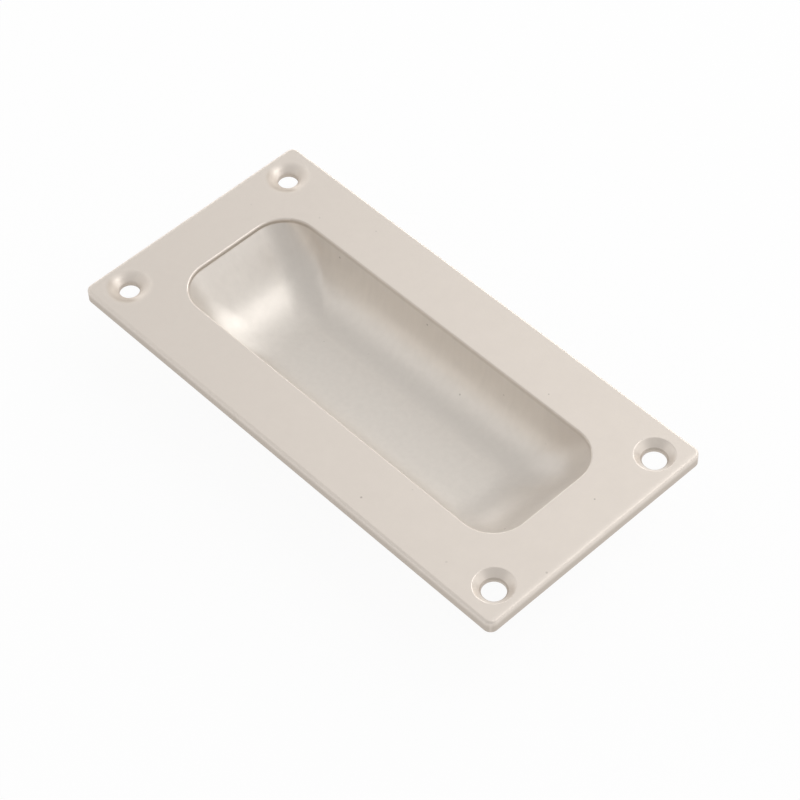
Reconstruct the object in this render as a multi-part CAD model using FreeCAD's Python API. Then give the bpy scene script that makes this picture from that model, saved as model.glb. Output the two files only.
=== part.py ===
import FreeCAD, Part
import math
import os

# Flush pull for a sliding door: a pressed metal plate with a drawn finger recess and
# four countersunk screw holes. It is one piece of sheet metal, so it is one solid.
#
# Frame: the origin is the centre of the screw pattern, in the plane of the sheet's back,
# where the screw holes open. +X runs along the plate, +Y across it, and +Z out of the door
# towards the hand. The turned-down border meets the door a little below z = 0, and the cup
# reaches on down into the door. All sizes are in millimetres.

# The plate
plate_length = 102.0
plate_width = 50.0
plate_corner = 1.5      # radius of the plate's corners, seen from the front
sheet = 2.0             # thickness of the metal in the plate
border_drop = 0.6       # how far the turned-down border stands behind the sheet
border_width = 2.2      # width of that border where it meets the door
border_corner = 0.6     # concave round of the border's inner corners
edge_round = 0.5        # round along the front edge
end_roll_width = 1.2    # the last stretch of each short end, which rolls down
end_roll_drop = 0.15    # how far it rolls down at the very end

# The finger recess: a short upright rim, and below it a scoop with sloping ends and steep
# sides. Its length and width are those of the rim.
recess_length = 80.3
recess_width = 27.1
recess_corner = 6.8     # radius of its corners, seen from the front
corner_taper = 0.8      # how its corners tighten as it narrows: 0 not at all, 1 in proportion
recess_depth = 11.6     # from the front face to the floor
lip_round = 0.35        # round between the front face and the rim
rim_height = 1.0        # from the front face to the foot of the rim, where the scoop begins
end_lean = 38.0         # degrees that the two end walls lean outwards from upright
end_scoop = 16.4        # round between an end wall and the floor
side_lean = 4.0         # the same lean for the two long walls
side_scoop = 9.3        # round between a long wall and the floor
loft_steps = 14         # steps between the level outlines that the scoop is lofted through
cup_wall = 1.6          # thickness of the drawn metal
back_bend_round = 0.8   # concave round between the cup and the back of the plate
back_collar = 1.0       # height of the cup's upright collar behind the plate

# The screw holes
screw_inset_x = 5.25    # from a short end to the hole's centre
screw_inset_y = 6.0     # from a long side to the hole's centre
screw_head_angle = 90.0
crisp_bore = 4.3        # diameter of the two bores at the +X end
crisp_head = 7.2        # diameter of their countersinks at the front face
crisp_rim_round = 0.3   # round at the rims of those countersinks
soft_bore = 3.75        # the same three sizes at the -X end, where the holes are pressed soft
soft_head = 6.0
soft_rim_round = 2.4

# Sizes that follow from those above
front_z = sheet
back_z = 0.0
border_z = -border_drop
half_length = plate_length / 2
half_width = plate_width / 2
past = 1.0              # how far a cutting tool runs past a face
close = 0.0001          # heights closer than this count as one height
rim_reach = 0.1         # how far beyond a countersink its rim is looked for


def vec(x, y, z=0.0):
    return FreeCAD.Vector(x, y, z)


def rounded_rectangle(length, width, radius, z):
    """A closed wire of four straight sides and four quarter circles, centred on the Z axis."""
    x = length / 2
    y = width / 2
    edges = []
    for turn in range(4):
        angle = 90.0 * turn
        along = x if turn % 2 == 0 else y
        side = y if turn % 2 == 0 else x
        spin = FreeCAD.Rotation(vec(0, 0, 1), angle)
        start = vec(along, -side + radius, z)
        end = vec(along, side - radius, z)
        edges.append(Part.LineSegment(spin.multVec(start), spin.multVec(end)).toShape())
        centre = vec(along - radius, side - radius, z)
        middle = centre + vec(radius, radius) * math.sqrt(0.5)
        finish = centre + vec(0, radius)
        arc = Part.Arc(spin.multVec(end), spin.multVec(middle), spin.multVec(finish))
        edges.append(arc.toShape())
    return Part.Wire(edges)


def prism(length, width, radius, bottom, top):
    """An upright block with a rounded-rectangle plan."""
    face = Part.Face(rounded_rectangle(length, width, radius, bottom))
    return face.extrude(vec(0, 0, top - bottom))


def recess_edges(shape, height, margin):
    """The edges at one height that lie within the recess's length and width and a margin."""
    reach_x = recess_length / 2 + margin
    reach_y = recess_width / 2 + margin
    found = []
    for edge in shape.Edges:
        box = edge.BoundBox
        level = abs(box.ZMin - height) < close and abs(box.ZMax - height) < close
        if level and max(-box.XMin, box.XMax) < reach_x and max(-box.YMin, box.YMax) < reach_y:
            found.append(edge)
    return found


def end_roll():
    """Everything below the front surface, which is flat and then rolls down at both short ends."""
    roll_start = half_length - end_roll_width
    radius = (end_roll_width ** 2 + end_roll_drop ** 2) / (2 * end_roll_drop)
    centre_z = front_z - radius
    half_angle = 0.5 * math.asin(end_roll_width / radius)
    middle_x = roll_start + radius * math.sin(half_angle)
    middle_z = centre_z + radius * math.cos(half_angle)
    end_z = front_z - end_roll_drop
    y = -half_width - past
    right = Part.Arc(vec(roll_start, y, front_z), vec(middle_x, y, middle_z), vec(half_length, y, end_z))
    left = Part.Arc(vec(-half_length, y, end_z), vec(-middle_x, y, middle_z), vec(-roll_start, y, front_z))
    flat = Part.LineSegment(vec(-roll_start, y, front_z), vec(roll_start, y, front_z))
    base_z = border_z - past
    side_right = Part.LineSegment(vec(half_length, y, end_z), vec(half_length, y, base_z))
    base = Part.LineSegment(vec(half_length, y, base_z), vec(-half_length, y, base_z))
    side_left = Part.LineSegment(vec(-half_length, y, base_z), vec(-half_length, y, end_z))
    loop = [left, flat, right, side_right, base, side_left]
    face = Part.Face(Part.Wire([curve.toShape() for curve in loop]))
    return face.extrude(vec(0, plate_width + 2 * past, 0))


def plate():
    """The plate with its rolled ends, rounded front edge and turned-down border."""
    blank = prism(plate_length, plate_width, plate_corner, border_z, front_z)
    body = blank.common(end_roll())
    outline = []
    for edge in body.Edges:
        box = edge.BoundBox
        rim = box.ZMin > front_z - end_roll_drop - close
        at_side = abs(abs(edge.CenterOfMass.y) - half_width) < plate_corner
        at_end = abs(abs(edge.CenterOfMass.x) - half_length) < plate_corner
        across = box.ZMax - box.ZMin < close and box.YMax - box.YMin > half_width and not at_end
        if rim and (at_side or at_end) and not across:
            outline.append(edge)
    body = body.makeFillet(edge_round, outline)
    hollow = prism(plate_length - 2 * border_width, plate_width - 2 * border_width,
                   border_corner, border_z - past, back_z)
    return body.cut(hollow)


def wall_inset(depth, full_depth, lean, scoop):
    """How far a wall stands in from the rim: a straight slope, then a round to the floor."""
    lean = math.radians(lean)
    below_rim = depth - rim_height
    slope_height = full_depth - rim_height
    if below_rim < slope_height - scoop * (1 - math.sin(lean)):
        return below_rim * math.tan(lean)
    floor_edge = slope_height * math.tan(lean) + scoop * math.tan((math.pi / 2 - lean) / 2)
    rise = full_depth - depth
    return floor_edge - math.sqrt(scoop ** 2 - (scoop - rise) ** 2)


def recess_outline(depth, offset, z):
    """The recess's outline at one depth, grown outwards by an offset, as a wire at height z."""
    full_depth = recess_depth + offset
    grow_end = offset / math.cos(math.radians(end_lean))
    grow_side = offset / math.cos(math.radians(side_lean))
    end_inset = wall_inset(depth, full_depth, end_lean, end_scoop + offset)
    side_inset = wall_inset(depth, full_depth, side_lean, side_scoop + offset)
    x = recess_length / 2 + grow_end - end_inset
    y = recess_width / 2 + grow_side - side_inset
    narrowing = y / (recess_width / 2 + grow_side)
    corner = (recess_corner + offset) * narrowing ** corner_taper
    return rounded_rectangle(2 * x, 2 * y, corner, z)


def recess_form(offset, top, collar_depth):
    """The recess as a solid, grown by an offset: an upright collar over a lofted scoop."""
    full_depth = recess_depth + offset
    outlines = []
    for step in range(loft_steps + 1):
        quarter = math.pi / 2 * step / loft_steps
        depth = full_depth - (full_depth - collar_depth) * (1 - math.sin(quarter))
        outlines.append(recess_outline(depth, offset, front_z - depth))
    scoop = Part.makeLoft(outlines, True, True)
    collar_foot = front_z - collar_depth
    collar = Part.Face(recess_outline(collar_depth, offset, collar_foot))
    return scoop.fuse(collar.extrude(vec(0, 0, top - collar_foot)))


def screw_hole(x, y):
    """The tool that cuts a through bore with a countersink."""
    bore = (soft_bore if x < 0 else crisp_bore) / 2
    head = (soft_head if x < 0 else crisp_head) / 2
    cone_depth = (head - bore) / math.tan(math.radians(screw_head_angle / 2))
    points = [
        vec(0, 0, -past),
        vec(bore, 0, -past),
        vec(bore, 0, front_z - cone_depth),
        vec(head, 0, front_z),
        vec(head, 0, front_z + past),
        vec(0, 0, front_z + past),
    ]
    face = Part.Face(Part.makePolygon(points + points[:1]))
    tool = face.revolve(vec(0, 0, 0), vec(0, 0, 1), 360)
    tool.translate(vec(x, y))
    return tool


def screw_centres():
    x = half_length - screw_inset_x
    y = half_width - screw_inset_y
    return [(-x, -y), (x, -y), (x, y), (-x, y)]


def soften_rim(body, x, y):
    """Rounds the rim of the countersink at one hole."""
    reach = (soft_head if x < 0 else crisp_head) / 2 + rim_reach
    rim = []
    for edge in body.Edges:
        box = edge.BoundBox
        near_x = box.XMin > x - reach and box.XMax < x + reach
        near_y = box.YMin > y - reach and box.YMax < y + reach
        if near_x and near_y and box.ZMin > front_z - end_roll_drop:
            rim.append(edge)
    return body.makeFillet(soft_rim_round if x < 0 else crisp_rim_round, rim)


def pull():
    """The plate with its cup, hollowed, rounded at both bends, and drilled."""
    body = plate().fuse(recess_form(cup_wall, back_z, sheet + back_collar)).removeSplitter()
    body = body.makeFillet(back_bend_round, recess_edges(body, back_z, 2 * cup_wall))
    body = body.cut(recess_form(0.0, front_z + past, rim_height))
    body = body.makeFillet(lip_round, recess_edges(body, front_z, lip_round))
    for x, y in screw_centres():
        body = body.cut(screw_hole(x, y))
        body = soften_rim(body, x, y)
    return body.Solids[0]


os.makedirs("parts", exist_ok=True)
pull_plate = pull()
pull_plate.exportStep("parts/pull_plate.step")
print("pull_plate", pull_plate.ShapeType, len(pull_plate.Solids), "solid", pull_plate.isValid(),
      "volume", round(pull_plate.Volume, 1), "box", pull_plate.BoundBox)
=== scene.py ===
import math

import bmesh
import bpy
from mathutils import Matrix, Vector


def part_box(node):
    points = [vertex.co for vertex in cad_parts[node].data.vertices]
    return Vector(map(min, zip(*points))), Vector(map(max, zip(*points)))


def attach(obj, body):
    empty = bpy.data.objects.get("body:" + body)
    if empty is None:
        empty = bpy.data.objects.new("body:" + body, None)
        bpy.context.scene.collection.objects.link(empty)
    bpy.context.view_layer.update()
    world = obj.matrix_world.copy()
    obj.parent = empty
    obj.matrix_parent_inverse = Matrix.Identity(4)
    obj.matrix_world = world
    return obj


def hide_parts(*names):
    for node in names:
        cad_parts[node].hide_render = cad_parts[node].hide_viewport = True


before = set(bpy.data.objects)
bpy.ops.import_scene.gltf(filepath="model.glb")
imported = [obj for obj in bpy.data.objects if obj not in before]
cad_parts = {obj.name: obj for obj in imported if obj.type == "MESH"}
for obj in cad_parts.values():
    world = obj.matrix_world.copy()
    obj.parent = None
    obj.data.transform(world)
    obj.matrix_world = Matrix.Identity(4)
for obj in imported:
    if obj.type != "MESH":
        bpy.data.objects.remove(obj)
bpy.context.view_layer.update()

# The pull is one pressing of thin sheet metal: a plate with a drawn finger recess and four
# countersinks. It has a fine satin finish in a warm grey, and screws hold it over its cut-out.
mm = 0.001
weld_distance = 0.002 * mm
widest_smooth_bend = math.radians(28.0)
shell = bmesh.new()
shell.from_mesh(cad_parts["pull_plate"].data)
bmesh.ops.remove_doubles(shell, verts=shell.verts, dist=weld_distance)
for face in shell.faces:
    face.smooth = True
for edge in shell.edges:
    edge.smooth = edge.calc_face_angle(0.0) < widest_smooth_bend
mesh = bpy.data.meshes.new("pull_body")
shell.to_mesh(mesh)
shell.free()
pull = bpy.data.objects.new("pull_body", mesh)
bpy.context.scene.collection.objects.link(pull)
weigh = pull.modifiers.new("weigh", "WEIGHTED_NORMAL")
weigh.keep_sharp = True

satin = bpy.data.materials.new("satin_metal")
satin.use_nodes = True
nodes = satin.node_tree.nodes
shader = nodes["Principled BSDF"]
shader.inputs["Metallic"].default_value = 0.54


def feed(socket, value):
    """Links another node's output to a socket, or sets the socket to a number or colour."""
    if isinstance(value, bpy.types.NodeSocket):
        socket.id_data.links.new(value, socket)
    else:
        socket.default_value = value


def maths(operation, first, *others, clamp=False):
    """A Math node's result. The first value is another node's output."""
    node = first.id_data.nodes.new("ShaderNodeMath")
    node.operation = operation
    node.use_clamp = clamp
    for socket, value in zip(node.inputs, (first, *others)):
        feed(socket, value)
    return node.outputs["Value"]


def ramp(value, start, end, low=0.0, high=1.0, soft=False):
    """Goes from low to high as the value goes from start to end, and stays level beyond."""
    node = value.id_data.nodes.new("ShaderNodeMapRange")
    node.interpolation_type = "SMOOTHSTEP" if soft else "LINEAR"
    feed(node.inputs["Value"], value)
    feed(node.inputs["From Min"], start)
    feed(node.inputs["From Max"], end)
    feed(node.inputs["To Min"], low)
    feed(node.inputs["To Max"], high)
    return node.outputs["Result"]


def mix(kind, share, first, second):
    """Mixes two numbers (FLOAT) or colours (RGBA) by a share of the second."""
    node = share.id_data.nodes.new("ShaderNodeMix")
    node.data_type = kind
    feed(node.inputs["Factor"], share)
    feed(node.inputs["A"], first)
    feed(node.inputs["B"], second)
    return node.outputs["Result"]


def noise(place, scale, detail, roughness=0.5):
    """Noise at a place on the object."""
    node = place.id_data.nodes.new("ShaderNodeTexNoise")
    feed(node.inputs["Vector"], place)
    feed(node.inputs["Scale"], scale)
    feed(node.inputs["Detail"], detail)
    feed(node.inputs["Roughness"], roughness)
    return node.outputs["Fac"]


# Where a point lies on the pull, and how far out from its middle along and across the plate
spot = nodes.new("ShaderNodeTexCoord").outputs["Object"]
axes = nodes.new("ShaderNodeSeparateXYZ")
feed(axes.inputs["Vector"], spot)
x, y, z = axes.outputs
along = maths("ABSOLUTE", x)
across = maths("ABSOLUTE", y)

# The recess: below the front face and within the rim
rim_x = 40.8 * mm
rim_y = 14.2 * mm
below_front = ramp(z, 1.9 * mm, 1.3 * mm, soft=True)
within_width = maths("LESS_THAN", across, rim_y)
within = maths("MULTIPLY", maths("LESS_THAN", along, rim_x), within_width)
in_recess = maths("MULTIPLY", below_front, within)

# The plate's outer edges, and below their rounds its upright sides
far_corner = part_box("pull_plate")[1]
edge_inset = 0.7 * mm
full_inset = 0.2 * mm
past_end = ramp(along, far_corner.x - edge_inset, far_corner.x - full_inset)
past_side = ramp(across, far_corner.y - edge_inset, far_corner.y - full_inset)
at_edge = maths("MAXIMUM", past_end, past_side)
on_side = maths("MULTIPLY", at_edge, ramp(z, 1.7 * mm, 0.4 * mm, soft=True))

# The four countersinks, and the bores below them
hole_x = 45.75 * mm
hole_y = 19.0 * mm
bore_reach = 2.4 * mm
quarter = nodes.new("ShaderNodeCombineXYZ")
feed(quarter.inputs["X"], along)
feed(quarter.inputs["Y"], across)
span = nodes.new("ShaderNodeVectorMath")
span.operation = "DISTANCE"
feed(span.inputs[0], quarter.outputs["Vector"])
feed(span.inputs[1], (hole_x, hole_y, 0.0))
from_hole = span.outputs["Value"]
in_dish = ramp(from_hole, 4.5 * mm, 3.5 * mm, soft=True)
in_bore = maths("MULTIPLY", ramp(z, 1.2 * mm, 0.6 * mm, soft=True),
                maths("LESS_THAN", from_hole, bore_reach))

# The two dishes at the -X end, which are pressed soft. Both rows of holes are laid over each
# other, so that one ramp finds the -Y side of each dish, which is darkened with painted shade
# and is duller.
at_soft_end = maths("LESS_THAN", x, 0.0)
one_row = maths("WRAP", y, 0.0, -2 * hole_y)
dish_shade_side = ramp(one_row, -19.3 * mm, -21.2 * mm, high=0.75, soft=True)
dish_shade = maths("MULTIPLY", maths("MULTIPLY", in_dish, at_soft_end), dish_shade_side)

# The lip's two long sides, and the upright rim under the lip all round
lip_reach = 37.5 * mm
on_round = maths("SUBTRACT", ramp(z, 1.998 * mm, 1.985 * mm), below_front, clamp=True)
lip_side = maths("MULTIPLY", on_round, maths("LESS_THAN", along, lip_reach))
on_lip = maths("MULTIPLY", lip_side, within_width)
on_rim = maths("MULTIPLY", ramp(z, 0.9 * mm, 1.2 * mm), in_recess)

# Clouding of the finish on the plate, and marks down the walls where the recess was drawn.
# Nearly all of their noise lies between its low and its high.
noise_low = 0.25
noise_high = 0.75
clouds = noise(spot, 260.0, 4.0, 0.6)
stretch = nodes.new("ShaderNodeMapping")
feed(stretch.inputs["Vector"], spot)
feed(stretch.inputs["Scale"], (900.0, 900.0, 110.0))
draw_marks = noise(stretch.outputs["Vector"], 1.0, 3.0)
unevenness = mix("FLOAT", in_recess, clouds, draw_marks)

# A few dark specks of dust and pinholes in the finish: 4 in 100 cells hold one
rarity = 0.96
darkest_speck = 0.6
speckle = nodes.new("ShaderNodeTexVoronoi")
feed(speckle.inputs["Vector"], spot)
feed(speckle.inputs["Scale"], 620.0)
near_speck = ramp(speckle.outputs["Distance"], 0.17, 0.08, soft=True)
chance = nodes.new("ShaderNodeSeparateColor")
feed(chance.inputs["Color"], speckle.outputs["Color"])
strength = ramp(chance.outputs["Red"], rarity, 1.0, high=darkest_speck)
speck = maths("MULTIPLY", near_speck, strength)

# Colour: the punch has left the recess a little cooler than the plate. Its two ends are
# darkened with painted shade.
plate_tone = (0.783, 0.711, 0.641, 1.0)
recess_tone = (0.785, 0.735, 0.677, 1.0)
end_shade_tone = (0.738, 0.687, 0.632, 1.0)
tone = mix("RGBA", in_recess, plate_tone, recess_tone)
either_end = maths("MAXIMUM", ramp(x, -32.0 * mm, -38.0 * mm), ramp(x, 24.0 * mm, 30.0 * mm))
end_shade = maths("MULTIPLY", either_end, in_recess)
clouded = nodes.new("ShaderNodeVectorMath")
clouded.operation = "SCALE"
feed(clouded.inputs["Vector"], mix("RGBA", end_shade, tone, end_shade_tone))
feed(clouded.inputs["Scale"], ramp(unevenness, noise_low, noise_high, 0.98, 1.02))

# Painted shade: the colour is darkened on the plate's sides, in the bores and on the -Y side of
# the soft dishes. It is a little darkened on the lip and the rim, and more so on the rim's -X
# end.
painted_shade_tone = (0.57, 0.505, 0.44, 1.0)
speck_tone = (0.2, 0.17, 0.14, 1.0)
lip_shade_share = 0.25
full_shade = maths("MAXIMUM", maths("MAXIMUM", on_side, in_bore), dish_shade)
rim_shade = maths("MULTIPLY", on_rim, ramp(x, -30.0 * mm, -36.0 * mm, 0.35, 1.0))
painted_shade = maths("MAXIMUM", full_shade, maths("MULTIPLY_ADD", on_lip, lip_shade_share, rim_shade))
darkened = mix("RGBA", painted_shade, clouded.outputs["Vector"], painted_shade_tone)
feed(shader.inputs["Base Color"], mix("RGBA", speck, darkened, speck_tone))

# Polish: a little uneven with the clouding, and duller where hands and screws have rubbed. In
# the soft dishes only the -X side has kept its polish; their -Y side is also darkened with
# painted shade.
plate_polish = 0.335
recess_polish = 0.38
edge_dullness = 0.15
crisp_dish_dullness = 0.03
dish_shade_dullness = 0.35
lip_dullness = 0.35
polish = mix("FLOAT", in_recess, plate_polish, recess_polish)
polish = maths("ADD", polish, ramp(unevenness, noise_low, noise_high, 0.03, -0.03))
polish = maths("MULTIPLY_ADD", at_edge, edge_dullness, polish)
soft_dish_dullness = ramp(x, -47.2 * mm, -45.0 * mm, 0.06, 0.3)
dish_dullness = mix("FLOAT", at_soft_end, crisp_dish_dullness, soft_dish_dullness)
polish = maths("MULTIPLY_ADD", in_dish, dish_dullness, polish)
polish = maths("MULTIPLY_ADD", dish_shade, dish_shade_dullness, polish)
polish = maths("MULTIPLY_ADD", on_lip, lip_dullness, polish)
feed(shader.inputs["Roughness"], polish)

# The satin grain: a very fine, shallow pitting
pitting = nodes.new("ShaderNodeBump")
feed(pitting.inputs["Height"], noise(spot, 3800.0, 2.0))
feed(pitting.inputs["Strength"], 0.25)
feed(pitting.inputs["Distance"], 0.02 * mm)
feed(shader.inputs["Normal"], pitting.outputs["Normal"])
pull.data.materials.append(satin)
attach(pull, "root")
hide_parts("pull_plate")

# The white paper that the pull lies on. It shows and mirrors white, and keeps a soft shadow.
# It lies a hair below the cup, so that the two don't flicker where they meet.
hair = 0.05 * mm
floor_size = 6.0
whiteness = 0.93
floor_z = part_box("pull_plate")[0].z - hair
bpy.ops.mesh.primitive_plane_add(size=floor_size, location=(0.0, 0.0, floor_z))
floor = bpy.context.object
floor.name = "floor"
paper = bpy.data.materials.new("white_floor")
paper.use_nodes = True
paper_nodes = paper.node_tree.nodes
paper_shader = paper_nodes["Principled BSDF"]
paper_shader.inputs["Base Color"].default_value = (0.88, 0.88, 0.88, 1.0)
paper_shader.inputs["Roughness"].default_value = 0.9
rays = paper_nodes.new("ShaderNodeLightPath").outputs
seen_or_mirrored = maths("MAXIMUM", rays["Is Camera Ray"], rays["Is Glossy Ray"])
seen = maths("MAXIMUM", seen_or_mirrored, rays["Is Transmission Ray"])
blend = paper_nodes.new("ShaderNodeMixShader")
feed(blend.inputs["Fac"], maths("MULTIPLY", seen, whiteness))
feed(blend.inputs[1], paper_shader.outputs["BSDF"])
feed(blend.inputs[2], paper_nodes.new("ShaderNodeEmission").outputs["Emission"])
feed(paper_nodes["Material Output"].inputs["Surface"], blend.outputs["Shader"])
floor.data.materials.append(paper)

# The studio's light: a plain white room with soft boxes around the pull, strongest at its back.
# Each soft box stands 1 m away and faces the pull. Its angles are in degrees, its sizes in
# metres and its power in watts.
world = bpy.data.worlds.new("studio")
bpy.context.scene.world = world
world.use_nodes = True
room = world.node_tree.nodes["Background"]
room.inputs["Color"].default_value = (1.0, 1.0, 1.0, 1.0)
room.inputs["Strength"].default_value = 0.61
soft_boxes = [
    # name, azimuth, elevation, width, height, power
    ("back_low", 102, 15, 0.8, 0.35, 1.44),
    ("back_left", 138, 13, 1.0, 0.3, 1.88),
    ("back_mid", 82, 34, 1.1, 0.45, 1.83),
    ("back_high", 120, 56, 0.5, 0.5, 0.25),
    ("key", 62, 56, 0.5, 0.5, 1.36),
    ("left_low", 200, 10, 1.2, 0.45, 0.65),
    ("left_mid", 215, 34, 1.2, 0.45, 0.73),
    ("right_low", 32, 10, 1.0, 0.45, 0.96),
    ("right_mid", 20, 34, 0.5, 0.45, 0.23),
]
for name, azimuth, elevation, width, height, power in soft_boxes:
    lamp = bpy.data.lights.new(name, "AREA")
    lamp.shape = "RECTANGLE"
    lamp.size = width
    lamp.size_y = height
    lamp.energy = power
    turn = math.radians(azimuth)
    rise = math.radians(elevation)
    level = math.cos(rise)
    away = Vector((level * math.cos(turn), level * math.sin(turn), math.sin(rise)))
    soft_box = bpy.data.objects.new(name, lamp)
    soft_box.location = away
    soft_box.rotation_euler = away.to_track_quat("Z", "Y").to_euler()
    bpy.context.scene.collection.objects.link(soft_box)

# The photo's camera, solved from the plate's outline and holes
lens = bpy.data.cameras.new("camera")
lens.lens = 117.73
lens.sensor_width = 36.0
lens.clip_start = 0.01
lens.clip_end = 20.0
camera = bpy.data.objects.new("camera", lens)
camera.location = (0.21792, -0.19196, 0.34641)
camera.rotation_euler = [math.radians(angle) for angle in (39.387, 1.503, 46.295)]
bpy.context.scene.collection.objects.link(camera)
bpy.context.scene.camera = camera

bpy.context.scene.view_settings.view_transform = "Standard"
